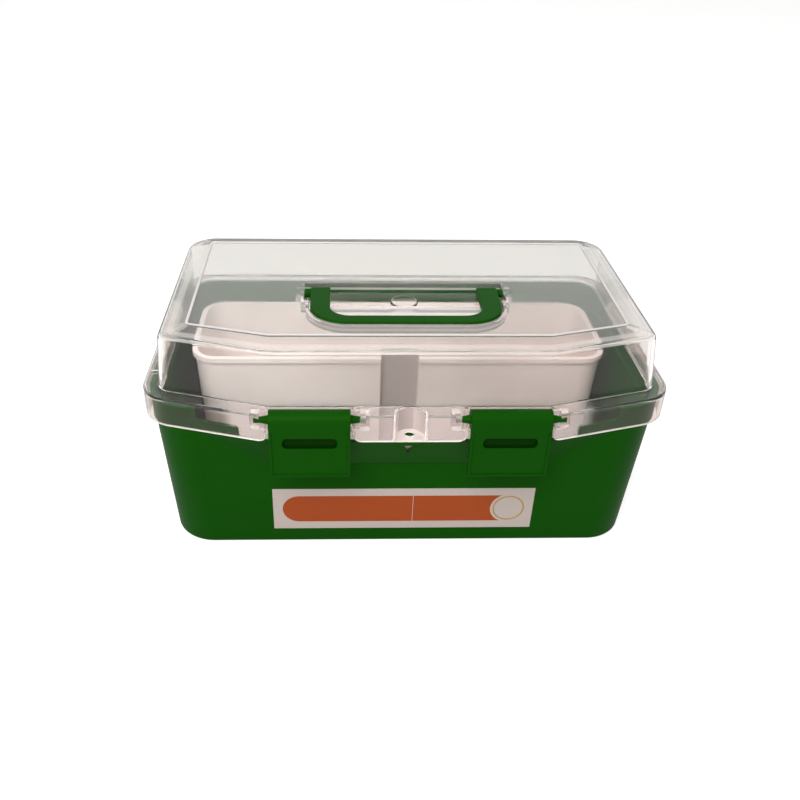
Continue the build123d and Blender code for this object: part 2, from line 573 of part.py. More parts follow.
# Carry handle, folded forwards into the recess
with BuildPart() as handle:
    arm_inner = HANDLE_HALF_LENGTH - HANDLE_ARM_WIDTH
    with BuildSketch(Plane.XY.offset(HANDLE_UNDER_Z)):
        with BuildSketch(mode=Mode.PRIVATE) as outer:
            with BuildLine():
                Polyline((-HANDLE_HALF_LENGTH, HANDLE_PIVOT_Y),
                         (-HANDLE_HALF_LENGTH, HANDLE_FRONT_Y),
                         (HANDLE_HALF_LENGTH, HANDLE_FRONT_Y),
                         (HANDLE_HALF_LENGTH, HANDLE_PIVOT_Y), close=True)
            make_face()
            fillet(outer.vertices().group_by(Axis.Y)[0], HANDLE_OUTER_R)
        with BuildSketch(mode=Mode.PRIVATE) as opening:
            bar_rear_y = HANDLE_FRONT_Y + HANDLE_BAR_DEPTH
            with BuildLine():
                Polyline((-arm_inner, HANDLE_PIVOT_Y), (-arm_inner, bar_rear_y),
                         (arm_inner, bar_rear_y), (arm_inner, HANDLE_PIVOT_Y), close=True)
            make_face()
            fillet(opening.vertices().group_by(Axis.Y)[0], HANDLE_INNER_R)
        add(outer.sketch)
        add(opening.sketch, mode=Mode.SUBTRACT)
    extrude(amount=HANDLE_THICKNESS)
    fillet(handle.faces().sort_by(Axis.Z)[-1].edges(), HANDLE_EDGE_R)
    for side in (-1, 1):
        rod_along_x(sorted((side * arm_inner, side * HANDLE_HALF_LENGTH)),
                    HANDLE_PIVOT_Y, HANDLE_PIVOT_Z, HANDLE_EYE_R)
        rod_along_x(sorted((side * HANDLE_HALF_LENGTH,
                            side * (HANDLE_HALF_LENGTH + HANDLE_PIN_LENGTH))),
                    HANDLE_PIVOT_Y, HANDLE_PIVOT_Z, HANDLE_PIN_R)


def build_latch(middle):
    """One latch, centred on X at middle: a plate hanging from a barrel with two pins."""
    with BuildPart() as latch:
        block((middle - LATCH_END, middle + LATCH_END), (LATCH_FRONT_Y, LATCH_INNER_Y),
              (LATCH_BOTTOM_Z, LATCH_PIVOT_Z))
        with BuildSketch(Plane.XZ.offset(-LATCH_FRONT_Y)):
            frame_height = LATCH_PIVOT_Z - LATCH_BOTTOM_Z - LATCH_BARREL_R
            with Locations((middle, LATCH_BOTTOM_Z)):
                Rectangle(LATCH_WIDTH, frame_height, align=(Align.CENTER, Align.MIN))
            with Locations((middle, LATCH_BOTTOM_Z + LATCH_LIP_WIDTH)):
                Rectangle(LATCH_WIDTH - 2 * LATCH_LIP_WIDTH, frame_height,
                          align=(Align.CENTER, Align.MIN), mode=Mode.SUBTRACT)
        extrude(amount=LATCH_LIP)
        fillet(latch.edges().filter_by(Axis.Y).group_by(Axis.Z)[0], LATCH_CORNER_R)
        rod_along_x((middle - LATCH_END, middle + LATCH_END), LATCH_PIVOT_Y, LATCH_PIVOT_Z,
                    LATCH_BARREL_R)
        with BuildSketch(Plane.XZ.offset(-LATCH_FRONT_Y)):
            with Locations((middle, LATCH_SLOT_Z)):
                RectangleRounded(LATCH_SLOT_WIDTH, LATCH_SLOT_HEIGHT, LATCH_SLOT_CORNER_R)
        extrude(amount=-LATCH_SLOT_DEPTH, mode=Mode.SUBTRACT)
        for side in (-1, 1):
            neck_x = middle + side * LATCH_END
            tip_x = neck_x + side * LATCH_NECK_LENGTH
            with BuildSketch(Plane((neck_x, LATCH_PIVOT_Y, LATCH_PIVOT_Z), z_dir=(side, 0, 0))):
                Circle(LATCH_NECK_R)
            with BuildSketch(Plane((tip_x, LATCH_PIVOT_Y, LATCH_PIVOT_Z), z_dir=(side, 0, 0))):
                Circle(LATCH_TIP_R)
            loft(ruled=True)
            rod_along_x(sorted((tip_x, tip_x + side * LATCH_TIP_LENGTH)),
                        LATCH_PIVOT_Y, LATCH_PIVOT_Z, LATCH_TIP_R)
    return latch.part


latch_left = build_latch(-LATCH_X)
latch_right = build_latch(LATCH_X)


# White lift-out box with a grip recess in its front
with BuildPart() as inner_box:
    base_z = TUB_FLOOR + BOX_FLOOR_GAP
    for inset, floor_z, mode in ((0.0, base_z, Mode.ADD), (BOX_WALL, base_z + BOX_WALL, Mode.SUBTRACT)):
        with BuildSketch(Plane.XY.offset(floor_z)):
            add(rounded_outline(BOX_HALF_LENGTH - BOX_DRAFT_INSET - inset,
                                BOX_FRONT + BOX_DRAFT_INSET + inset,
                                BOX_REAR - BOX_DRAFT_INSET - inset, BOX_CORNER_R - inset))
        with BuildSketch(Plane.XY.offset(BOX_TOP_Z)):
            add(rounded_outline(BOX_HALF_LENGTH - inset, BOX_FRONT + inset, BOX_REAR - inset,
                                BOX_CORNER_R - inset))
        loft(ruled=True, mode=mode)
    with BuildSketch(Plane.XY.offset(BOX_TOP_Z)):
        add(rounded_outline(BOX_HALF_LENGTH + BOX_RIM_WIDTH, BOX_FRONT - BOX_RIM_WIDTH,
                            BOX_REAR + BOX_RIM_WIDTH, BOX_CORNER_R + BOX_RIM_WIDTH))
        add(rounded_outline(BOX_HALF_LENGTH - BOX_WALL, BOX_FRONT + BOX_WALL,
                            BOX_REAR - BOX_WALL, BOX_CORNER_R - BOX_WALL), mode=Mode.SUBTRACT)
    extrude(amount=-BOX_RIM_HEIGHT)
    block((-BOX_GRIP_HALF - BOX_WALL, BOX_GRIP_HALF + BOX_WALL),
          (BOX_FRONT + BOX_WALL / 2, BOX_FRONT + BOX_DRAFT_INSET + BOX_GRIP_DEPTH + BOX_WALL),
          (BOX_GRIP_BOTTOM_Z - BOX_WALL, BOX_TOP_Z))
    block((-BOX_GRIP_HALF, BOX_GRIP_HALF),
          (BOX_FRONT - BOX_RIM_WIDTH, BOX_FRONT + BOX_DRAFT_INSET + BOX_GRIP_DEPTH),
          (BOX_GRIP_BOTTOM_Z, BOX_TOP_Z), mode=Mode.SUBTRACT)


# Label on the front wall, tilted with the wall's draft
WALL_LEAN = (TUB_WALL_FRONT_TOP - TUB_BASE_FRONT) / TUB_RIM_Z
with BuildPart() as label:
    label_plane = Plane(
        origin=(0, -TUB_BASE_FRONT - WALL_LEAN * LABEL_CENTRE_Z, LABEL_CENTRE_Z),
        x_dir=(1, 0, 0),
        z_dir=(0, -1, -WALL_LEAN),
    )
    with BuildSketch(label_plane):
        RectangleRounded(LABEL_LENGTH, LABEL_HEIGHT, LABEL_CORNER_R)
    extrude(amount=LABEL_THICKNESS)


os.makedirs("parts", exist_ok=True)
pieces = {
    "tub": tub.part,
    "lid": lid.part,
    "hinge_rod": hinge_rod.part,
    "handle": handle.part,
    "latch_left": latch_left,
    "latch_right": latch_right,
    "inner_box": inner_box.part,
    "label": label.part,
}
for name, piece in pieces.items():
    piece.label = name
    export_step(piece, f"parts/{name}.step")
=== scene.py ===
"""Looks of a clear-lidded specimen carry case: moulded finishes, a printed label and a studio."""

import math

import bmesh
import bpy
from bpy.props import FloatProperty, FloatVectorProperty, PointerProperty
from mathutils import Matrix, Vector


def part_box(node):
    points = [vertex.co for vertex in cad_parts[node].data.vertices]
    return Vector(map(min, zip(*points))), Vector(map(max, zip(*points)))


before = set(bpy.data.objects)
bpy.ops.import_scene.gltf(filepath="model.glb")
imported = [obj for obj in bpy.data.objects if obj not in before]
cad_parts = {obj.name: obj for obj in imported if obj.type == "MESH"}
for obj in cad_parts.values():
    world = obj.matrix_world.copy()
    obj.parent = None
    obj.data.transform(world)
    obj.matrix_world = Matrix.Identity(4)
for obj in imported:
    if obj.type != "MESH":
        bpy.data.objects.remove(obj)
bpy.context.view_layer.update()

bl_info = {
    "name": "Specimen carry case",
    "version": (1, 0, 0),
    "blender": (4, 5, 0),
    "location": "View3D > Sidebar > Carry case",
    "description": "Finishes and studio for a clear-lidded carry case",
    "category": "Object",
}

MM = 0.001
LABEL_LOW, LABEL_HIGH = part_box("label")
BOX_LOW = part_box("inner_box")[0]
LATCH_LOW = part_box("latch_left")[0]

# Each pair below is a zone's soft edge: where the zone is fully out, then where it is fully in.

# The latches' finger slots: centres, half sizes, and depth from the latch's front
SLOT_X = 61.25 * MM
SLOT_Z = 100.3 * MM
SLOT_ENDS = (17.0 * MM, 16.8 * MM)
SLOT_SIDES = (4.0 * MM, 3.8 * MM)
SLOT_MOUTH = (LATCH_LOW.y + 0.9 * MM, LATCH_LOW.y + 1.4 * MM)
SLOT_FLOOR = (LATCH_LOW.y + 3.1 * MM, LATCH_LOW.y + 2.9 * MM)

# The lid's top panel, the bead on it, the crease round it, and the lip at the rim's foot
PANEL_FOOT = (150.8 * MM, 154.3 * MM)
BEAD_FOOT = (156.7 * MM, 157.05 * MM)
CREASE_Z = 152.0 * MM
CREASE_SIDES = (1.0 * MM, 0.3 * MM)
LIP_TOP = (100.0 * MM, 99.6 * MM)

# The front wall of the handle's recess
WALL_TOP = (154.2 * MM, 153.7 * MM)
WALL_FOOT = (144.0 * MM, 145.0 * MM)
WALL_BACK = (-46.0 * MM, -47.0 * MM)
WALL_FRONT = (-59.0 * MM, -58.0 * MM)
WALL_ENDS = (70.0 * MM, 69.0 * MM)

# The clear blocks that the latches' pins turn in: centre from the slot's, and edges
BLOCK_X = 33.5 * MM
BLOCK_SIDES = (3.0 * MM, 2.5 * MM)
BLOCK_FOOT = (110.8 * MM, 111.3 * MM)
BLOCK_TOP = (117.2 * MM, 116.7 * MM)
BLOCK_BACK = (LATCH_LOW.y + 16.0 * MM, LATCH_LOW.y + 15.0 * MM)

# The lid's rim: its front whitened with painted light, the tub's step that ends behind it, and its
# tinted sides
LIT_RIM_ENDS = (116.0 * MM, 106.0 * MM)
LIT_RIM_TOP = (117.9 * MM, 115.9 * MM)
LIT_RIM_BACK = (-40.0 * MM, -60.0 * MM)
STEP_TOP = (106.5 * MM, 107.5 * MM)
STEP_ENDS = (105.0 * MM, 104.0 * MM)
TINTED_TOP = (115.4 * MM, 114.4 * MM)
HANDLED_FRONT = (-75.0 * MM, -65.0 * MM)

# The shallow strip down the lift-out box's front, darkened with painted shade: half width, depth,
# and Y of its face's normal
STRIP_SIDES = (13.8 * MM, 13.5 * MM)
STRIP_BACK = (BOX_LOW.y + 20.0 * MM, BOX_LOW.y + 19.0 * MM)
STRIP_FACING = (-0.6, -0.8)
# Painted shade: the lift-out box darkens towards its right end: whiteness per metre of X
SHADE_ALONG_X = -3.5

# Blur at the edge of the label's inks
INK_EDGE = 0.15 * MM

# The studio, in metres
FLOOR_HALF = 6.0
FLOOR_CLOUD = 0.5
KEY_SIZE, KEY_PLACE, KEY_TARGET = 1.6, (-0.2, 0.1, 1.7), (0.0, 0.0, 0.05)
FILL_SIZE, FILL_PLACE, FILL_TARGET = 1.2, (-0.5, -1.3, 1.5), (0.0, 0.0, 0.08)
SENSOR_WIDTH_MM = 36.0
WHITE = (1.0, 1.0, 1.0, 1.0)


def linear(hex_colour):
    """An sRGB hex colour such as '#145012' as linear red, green and blue."""
    parts = [int(hex_colour[i:i + 2], 16) / 255 for i in (1, 3, 5)]
    return tuple(c / 12.92 if c <= 0.04045 else ((c + 0.055) / 1.055) ** 2.4 for c in parts)


def colour_prop(name, description, hex_colour):
    """A colour setting with an sRGB hex default."""
    return FloatVectorProperty(name=name, description=description, subtype="COLOR", size=3,
                               min=0.0, max=1.0, default=linear(hex_colour))


def length_prop(name, description, millimetres):
    """A length setting with a default in millimetres."""
    return FloatProperty(name=name, description=description, unit="LENGTH",
                         default=millimetres * MM)


def share_prop(name, description, share):
    """A setting from 0 to 1."""
    return FloatProperty(name=name, description=description, subtype="FACTOR",
                         min=0.0, max=1.0, default=share)


class CarryCaseFinish(bpy.types.PropertyGroup):
    """Colours and surface sizes of the case."""

    green: colour_prop("Green", "Colour of the tub, handle and latches", "#0E4A06")
    green_deep: colour_prop("Deep green", "Darker drift in the moulded green", "#0B4205")
    green_gloss: colour_prop("Green gloss", "Tint of the moulded green's gloss", "#F2FFB0")
    # Painted shade colour for the floors of the latches' slots
    slot_shade_green: colour_prop("Slot green", "Painted shade in the latches' slots", "#052A02")
    drift_width: length_prop("Drift width", "Width of the drift in the moulded green", 70.0)
    peel_width: length_prop("Peel width", "Width of the faint waves in the moulded skin", 3.0)
    peel_depth: length_prop("Peel depth", "Height of the faint waves in the moulded skin", 0.04)
    edge_radius: length_prop("Edge radius", "Softness of the moulded edges", 0.4)

    clear_tint: colour_prop("Clear tint", "Faint tint of the clear plastic", "#F4F2F0")
    clear_gloss: colour_prop("Clear gloss", "Tint of the clear plastic's reflections", "#9E9698")
    shadow_tint: colour_prop("Shadow tint", "Light that the clear plastic lets by", "#FCFAF9")
    # Colour of the painted reflection on the top panel
    panel_reflection_tint: colour_prop("Panel tint", "Tint of the painted reflection on the top panel", "#DAD9D5")
    # Painted shade colour for the handle recess's front wall and the pins' blocks
    wall_shade_tint: colour_prop("Thick tint", "Painted shade tint on the recess wall and pins' blocks", "#9C928D")
    slant_tint: colour_prop("Slant tint", "Tint of clear walls seen at a slant", "#5E5E52")
    # Colour of the painted light on the rim's front round the latches
    lit_rim_tint: colour_prop("Milky tint", "Tint of the rim round the latches", "#F5E9E6")
    rim_tint: colour_prop("Rim tint", "Tint of the rim seen through its height", "#CBC1BA")
    # Colour of the painted highlight on the lid's proud edges
    highlight_white: colour_prop("Edge white", "Painted highlight on the clear plastic's proud edges", "#F4EEEC")
    clear_haze: share_prop("Clear haze", "Cloudiness of the clear plastic", 0.006)
    panel_reflection_haze: share_prop("Panel haze", "Haze of the painted reflection on the lid's top panel", 0.1)
    lit_rim_haze: share_prop("Rim haze", "Whiteness of the painted light on the rim round the latches", 0.19)
    highlight_haze: share_prop("Edge haze", "Whiteness of the painted highlight on the lid's edges", 0.6)
    # Share of diffuse haze that carries that painted shade
    wall_shade_haze: share_prop("Thick haze", "Cloudiness of the painted shade on the recess wall and blocks", 0.4)
    crease_highlight_share: share_prop("Crease share", "Whiteness of the crease beside other edges", 0.6)
    block_shade_share: share_prop("Block share", "Tint of the pins' blocks beside other walls", 0.5)
    slant_share: share_prop("Slant share", "Most of the slant tint that a wall gathers", 0.9)
    rim_dullness: share_prop("Rim dullness", "Roughness of the rim's handled sides", 0.3)
    haze_width: length_prop("Haze width", "Width of the flow marks in the clear lid", 35.0)
    haze_depth: length_prop("Haze depth", "Height of the flow marks in the clear lid", 0.1)
    scuff_width: length_prop("Scuff width", "Width of the scuffs on the lid", 1.6)

    box_white: colour_prop("Box white", "Colour of the lift-out box", "#FAF1EE")
    # Colour for the box's random drift and its painted shade towards the right
    box_shade: colour_prop("Box shade", "Greyer colour for the box's drift and its painted shade", "#E2D3CF")
    # Colour of the painted shade on the recessed strip
    strip_shade_grey: colour_prop("Strip grey", "Painted shade on the strip down the lift-out box's front", "#B5A9A6")
    shade_width: length_prop("Shade width", "Width of the drift in the lift-out box", 50.0)
    grain_width: length_prop("Grain width", "Width of the box's matt grain", 1.2)
    grain_depth: length_prop("Grain depth", "Height of the box's matt grain", 0.05)

    steel_grey: colour_prop("Steel", "Bare hinge wire", "#B4B2AE")
    draw_length: length_prop("Draw length", "Length of the drawing marks on the wire", 20.0)
    draw_width: length_prop("Draw width", "Width of the drawing marks on the wire", 0.3)


class CarryCaseLabel(bpy.types.PropertyGroup):
    """Colours, places and sizes of the print on the label."""

    film_white: colour_prop("Film white", "Bare film round the printed band", "#B9ADA6")
    band_orange: colour_prop("Band orange", "Printed band", "#9D4211")
    ring_ochre: colour_prop("Ring ochre", "Ring at the band's end", "#A98A42")
    mottle_width: length_prop("Mottle width", "Width of the print's faint mottle", 2.5)
    band_left: length_prop("Band left", "X of the printed band's round end", -81.4)
    band_right: length_prop("Band right", "X of the printed band's end under the ring", 71.2)
    band_height: length_prop("Band height", "Height of the printed band", 22.6)
    divider_x: length_prop("Divider", "X of the thin line across the band", 6.2)
    divider_width: length_prop("Divider width", "Width of the thin line", 0.35)
    disc_x: length_prop("Disc", "X of the plain round field's centre", 71.2)
    disc_radius: length_prop("Disc radius", "Radius of the plain round field", 12.4)
    ring_radius: length_prop("Ring radius", "Middle radius of the ochre ring", 10.2)
    ring_width: length_prop("Ring width", "Width of the ochre ring", 1.1)


class CarryCaseStudio(bpy.types.PropertyGroup):
    """Camera, floor and lamps."""

    lens: FloatProperty(name="Lens", description="Focal length", unit="CAMERA", default=38.614)
    shift: FloatProperty(name="Shift", description="Sideways shift of the frame", default=0.04)
    camera_place: FloatVectorProperty(name="Camera place", description="Where the camera stands",
                                      subtype="TRANSLATION", unit="LENGTH",
                                      default=(-0.043105, -0.525974, 0.406262))
    camera_turn: FloatVectorProperty(name="Camera turn", description="How the camera is turned",
                                     subtype="EULER", unit="ROTATION",
                                     default=[math.radians(angle)
                                              for angle in (57.0506, -0.9836, -1.6235)])
    sky: FloatProperty(name="Sky", description="Strength of the even light from all round",
                       default=0.45)
    floor_colour: colour_prop("Floor", "Colour of the floor", "#E6E5E4")
    floor_lift: share_prop("Floor lift", "Whiteness the floor shows the camera", 0.55)
    mirror_lift: share_prop("Mirror lift", "Whiteness the floor adds in gloss", 0.1)
    glass_lift: share_prop("Glass lift", "Whiteness the floor adds in glass", 0.5)
    key_power: FloatProperty(name="Key", description="Power of the overhead softbox",
                             unit="POWER", default=5.0)
    fill_power: FloatProperty(name="Fill", description="Power of the front softbox",
                              unit="POWER", default=30.0)


def add_node(tree, kind, inputs=None, **settings):
    """Adds a node with its settings; an input takes a plain value or another node's output."""
    node = tree.nodes.new(kind)
    for key, value in settings.items():
        setattr(node, key, value)
    for key, value in (inputs or {}).items():
        if isinstance(value, bpy.types.NodeSocket):
            tree.links.new(value, node.inputs[key])
        else:
            node.inputs[key].default_value = value
    return node


def new_material(name):
    """A material without nodes yet, and its tree."""
    material = bpy.data.materials.new(name)
    material.use_nodes = True
    material.node_tree.nodes.clear()
    return material, material.node_tree


def own_place(tree):
    """A point's place on its own object, whole and as X, Y and Z."""
    place = add_node(tree, "ShaderNodeTexCoord").outputs["Object"]
    return place, add_node(tree, "ShaderNodeSeparateXYZ", {"Vector": place}).outputs


def away(tree, value, centre=0.0):
    """How far a value lies from a centre, on either side."""
    gap = add_node(tree, "ShaderNodeMath", {0: value, 1: centre}, operation="SUBTRACT")
    return add_node(tree, "ShaderNodeMath", {0: gap.outputs["Value"]},
                    operation="ABSOLUTE").outputs["Value"]


def zone(tree, *edges, within=None):
    """A mask with soft edges, each a value, where it is out and where it is in."""
    mask = within
    for value, is_out, is_in in edges:
        step = add_node(tree, "ShaderNodeMapRange",
                        {"Value": value, "From Min": is_out, "From Max": is_in},
                        interpolation_type="SMOOTHSTEP").outputs["Result"]
        if mask is not None:
            step = add_node(tree, "ShaderNodeMath", {0: mask, 1: step},
                            operation="MULTIPLY").outputs["Value"]
        mask = step
    return mask


def strongest(tree, *layers):
    """The strongest of several layers at each point, each a mask and its strength."""
    result = None
    for mask, strength in layers:
        layer = add_node(tree, "ShaderNodeMath", {0: mask, 1: strength},
                         operation="MULTIPLY").outputs["Value"]
        if result is not None:
            layer = add_node(tree, "ShaderNodeMath", {0: result, 1: layer},
                             operation="MAXIMUM").outputs["Value"]
        result = layer
    return result


def laid_over(tree, below, mask, above):
    """The colour below, with another laid over it where the mask is 1."""
    if not isinstance(below, bpy.types.NodeSocket):
        below = (*below, 1)
    return add_node(tree, "ShaderNodeMix", {"Factor": mask, "A": below, "B": (*above, 1)},
                    data_type="RGBA").outputs["Result"]


def dress(node_name, material):
    """Gives a carried node one material."""
    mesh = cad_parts[node_name].data
    mesh.materials.clear()
    mesh.materials.append(material)


def moulded_green():
    """Polypropylene, injection moulded and dyed through: satin gloss over a faint orange peel.

    The latches' finger slots are darkened with painted shade.
    """
    values = bpy.context.scene.carry_case_finish
    material, tree = new_material("polypropylene_moulded_green")
    place, axes = own_place(tree)
    drift = add_node(tree, "ShaderNodeTexNoise",
                     {"Vector": place, "Scale": 1 / values.drift_width,
                      "Detail": 3.0, "Roughness": 0.55}).outputs["Fac"]
    # Painted shade: the slots' floors are darkened to read as shadowed
    slot_shade = zone(tree, (away(tree, away(tree, axes["X"]), SLOT_X), *SLOT_ENDS),
                 (away(tree, axes["Z"], SLOT_Z), *SLOT_SIDES),
                 (axes["Y"], *SLOT_MOUTH), (axes["Y"], *SLOT_FLOOR))
    colour = laid_over(tree, values.green_deep, drift, values.green)
    colour = laid_over(tree, colour, slot_shade, values.slot_shade_green)
    roughness = add_node(tree, "ShaderNodeMapRange",
                         {"Value": drift, "To Min": 0.34, "To Max": 0.46}).outputs["Result"]
    peel = add_node(tree, "ShaderNodeTexNoise",
                    {"Vector": place, "Scale": 1 / values.peel_width, "Detail": 2.0})
    edge = add_node(tree, "ShaderNodeBevel", {"Radius": values.edge_radius}, samples=4)
    bump = add_node(tree, "ShaderNodeBump",
                    {"Strength": 0.4, "Distance": values.peel_depth,
                     "Height": peel.outputs["Fac"], "Normal": edge.outputs["Normal"]})
    skin = add_node(tree, "ShaderNodeBsdfPrincipled",
                    {"Base Color": colour, "Roughness": roughness, "IOR": 1.49,
                     "Specular IOR Level": 0.04, "Specular Tint": (*values.green_gloss, 1),
                     "Normal": bump.outputs["Normal"]})
    add_node(tree, "ShaderNodeOutputMaterial", {"Surface": skin.outputs["BSDF"]})
    return material


def moulded_clear():
    """Polystyrene, injection moulded and clear: sharp reflections over a faint cloudy flow.

    The top panel carries a painted reflection as a light haze, the proud edges carry a painted
    white highlight, the rim's front round the latches is whitened with painted light, and its
    sides and rear are dulled by handling.
    """
    values = bpy.context.scene.carry_case_finish
    material, tree = new_material("polystyrene_moulded_clear")
    place, axes = own_place(tree)
    sideways = away(tree, axes["X"])
    flow = add_node(tree, "ShaderNodeTexNoise",
                    {"Vector": place, "Scale": 1 / values.haze_width,
                     "Detail": 5.0, "Roughness": 0.6}).outputs["Fac"]
    scuff = add_node(tree, "ShaderNodeTexNoise",
                     {"Vector": place, "Scale": 1 / values.scuff_width,
                      "Detail": 4.0, "Roughness": 0.65}).outputs["Fac"]

    # Painted reflection: the top panel is whitened with diffuse haze and a pale tint for the
    # bright surroundings it mirrors
    panel = zone(tree, (axes["Z"], *PANEL_FOOT))
    # Painted highlight: the bead's top, the rim's foot and, less, the crease are whitened
    edges = strongest(tree, (zone(tree, (axes["Z"], *BEAD_FOOT)), 1.0),
                      (zone(tree, (axes["Z"], *LIP_TOP)), 1.0),
                      (zone(tree, (away(tree, axes["Z"], CREASE_Z), *CREASE_SIDES)),
                       values.crease_highlight_share))

    # Painted shade: the recess's front wall, and less so the pins' blocks, are clouded and
    # darkened with a grey-brown tint
    wall = zone(tree, (axes["Z"], *WALL_TOP), (axes["Z"], *WALL_FOOT),
                (axes["Y"], *WALL_BACK), (axes["Y"], *WALL_FRONT), (sideways, *WALL_ENDS))
    from_block = away(tree, away(tree, sideways, SLOT_X), BLOCK_X)
    block = zone(tree, (from_block, *BLOCK_SIDES), (axes["Z"], *BLOCK_FOOT),
                 (axes["Z"], *BLOCK_TOP), (axes["Y"], *BLOCK_BACK))
    wall_and_block_shade = strongest(tree, (wall, 1.0), (block, values.block_shade_share))

    # Painted light: the rim's front is whitened above the tub's step, and all the way down between
    # its ends
    above_step = zone(tree, (sideways, *LIT_RIM_ENDS), (axes["Z"], *STEP_TOP))
    lit_rim = strongest(tree, (above_step, 1.0), (zone(tree, (sideways, *STEP_ENDS)), 1.0))
    lit_rim = zone(tree, (axes["Z"], *LIT_RIM_TOP), (axes["Y"], *LIT_RIM_BACK), within=lit_rim)

    # Elsewhere the rim is seen through its whole height, which gathers the tint
    not_lit_rim = add_node(tree, "ShaderNodeMath", {0: 1.0, 1: lit_rim}, operation="SUBTRACT")
    tinted = zone(tree, (axes["Z"], *TINTED_TOP), within=not_lit_rim.outputs["Value"])
    handled = zone(tree, (axes["Y"], *HANDLED_FRONT), within=tinted)

    haze = values.clear_haze
    for mask, share in ((panel, values.panel_reflection_haze), (lit_rim, values.lit_rim_haze)):
        haze = add_node(tree, "ShaderNodeMath", {0: mask, 1: share, 2: haze},
                        operation="MULTIPLY_ADD").outputs["Value"]
    uneven = add_node(tree, "ShaderNodeMapRange",
                      {"Value": scuff, "From Min": 0.3, "From Max": 0.7,
                       "To Min": 0.88, "To Max": 1.12}, interpolation_type="SMOOTHSTEP")
    haze = strongest(tree, (haze, uneven.outputs["Result"]),
                     (edges, values.highlight_haze), (wall_and_block_shade, values.wall_shade_haze))
    clearness = add_node(tree, "ShaderNodeMath", {0: 1.0, 1: haze}, operation="SUBTRACT")

    # Seen along its walls, the light goes a longer way through the plastic
    facing = add_node(tree, "ShaderNodeLayerWeight", {"Blend": 0.5}).outputs["Facing"]
    slant = add_node(tree, "ShaderNodeMapRange",
                     {"Value": facing, "From Min": 0.6, "From Max": 0.85,
                      "To Max": values.slant_share},
                     interpolation_type="SMOOTHSTEP").outputs["Result"]
    colour = laid_over(tree, values.clear_tint, panel, values.panel_reflection_tint)
    for mask, tint in ((slant, values.slant_tint), (lit_rim, values.lit_rim_tint),
                       (tinted, values.rim_tint), (wall_and_block_shade, values.wall_shade_tint),
                       (edges, values.highlight_white)):
        colour = laid_over(tree, colour, mask, tint)

    polish = add_node(tree, "ShaderNodeMapRange",
                      {"Value": flow, "From Min": 0.3, "From Max": 0.8,
                       "To Min": 0.02, "To Max": 0.08}, interpolation_type="SMOOTHSTEP")
    roughness = strongest(tree, (polish.outputs["Result"], 1.0), (handled, values.rim_dullness))
    wave = add_node(tree, "ShaderNodeBump",
                    {"Strength": 0.25, "Distance": values.haze_depth, "Height": flow})
    clear = add_node(tree, "ShaderNodeBsdfPrincipled",
                     {"Base Color": colour, "Roughness": roughness, "IOR": 1.55,
                      "Specular Tint": (*values.clear_gloss, 1),
                      "Transmission Weight": clearness.outputs["Value"],
                      "Normal": wave.outputs["Normal"]})
    passing = add_node(tree, "ShaderNodeBsdfTransparent", {"Color": (*values.shadow_tint, 1)})
    path = add_node(tree, "ShaderNodeLightPath").outputs
    shown = add_node(tree, "ShaderNodeMixShader",
                     {0: path["Is Shadow Ray"], 1: clear.outputs["BSDF"],
                      2: passing.outputs["BSDF"]})
    add_node(tree, "ShaderNodeOutputMaterial", {"Surface": shown.outputs["Shader"]})
    return material


def moulded_white():
    """Polypropylene, injection moulded in off-white: a soft matt skin with a fine grain."""
    values = bpy.context.scene.carry_case_finish
    material, tree = new_material("polypropylene_moulded_white")
    place, axes = own_place(tree)
    drift = add_node(tree, "ShaderNodeTexNoise",
                     {"Vector": place, "Scale": 1 / values.shade_width,
                      "Detail": 4.0, "Roughness": 0.6}).outputs["Fac"]
    # Painted shade along X, laid over the box's random drift
    whiteness = add_node(tree, "ShaderNodeMath", {0: axes["X"], 1: SHADE_ALONG_X, 2: drift},
                         operation="MULTIPLY_ADD", use_clamp=True).outputs["Value"]
    normal = add_node(tree, "ShaderNodeTexCoord").outputs["Normal"]
    facing = add_node(tree, "ShaderNodeSeparateXYZ", {"Vector": normal}).outputs
    # Painted shade: the strip's recessed face is greyed
    strip = zone(tree, (away(tree, axes["X"]), *STRIP_SIDES), (facing["Y"], *STRIP_FACING),
                 (axes["Y"], *STRIP_BACK))
    colour = laid_over(tree, values.box_shade, whiteness, values.box_white)
    colour = laid_over(tree, colour, strip, values.strip_shade_grey)
    grain = add_node(tree, "ShaderNodeTexNoise",
                     {"Vector": place, "Scale": 1 / values.grain_width, "Detail": 2.0})
    bump = add_node(tree, "ShaderNodeBump",
                    {"Strength": 0.4, "Distance": values.grain_depth,
                     "Height": grain.outputs["Fac"]})
    skin = add_node(tree, "ShaderNodeBsdfPrincipled",
                    {"Base Color": colour, "Roughness": 0.5, "IOR": 1.49,
                     "Normal": bump.outputs["Normal"]})
    add_node(tree, "ShaderNodeOutputMaterial", {"Surface": skin.outputs["BSDF"]})
    return material


def drawn_steel():
    """Steel wire, drawn and bare: grey metal with fine marks along its length."""
    values = bpy.context.scene.carry_case_finish
    material, tree = new_material("steel_drawn_bare")
    place = add_node(tree, "ShaderNodeTexCoord").outputs["Object"]
    stretch = add_node(tree, "ShaderNodeMapping",
                       {"Vector": place, "Scale": (1 / values.draw_length, 1 / values.draw_width,
                                                   1 / values.draw_width)})
    marks = add_node(tree, "ShaderNodeTexNoise",
                     {"Vector": stretch.outputs["Vector"], "Scale": 1.0, "Detail": 2.0})
    roughness = add_node(tree, "ShaderNodeMapRange",
                         {"Value": marks.outputs["Fac"], "To Min": 0.22, "To Max": 0.42})
    wire = add_node(tree, "ShaderNodeBsdfPrincipled",
                    {"Base Color": (*values.steel_grey, 1), "Metallic": 1.0,
                     "Roughness": roughness.outputs["Result"]})
    add_node(tree, "ShaderNodeOutputMaterial", {"Surface": wire.outputs["BSDF"]})
    return material


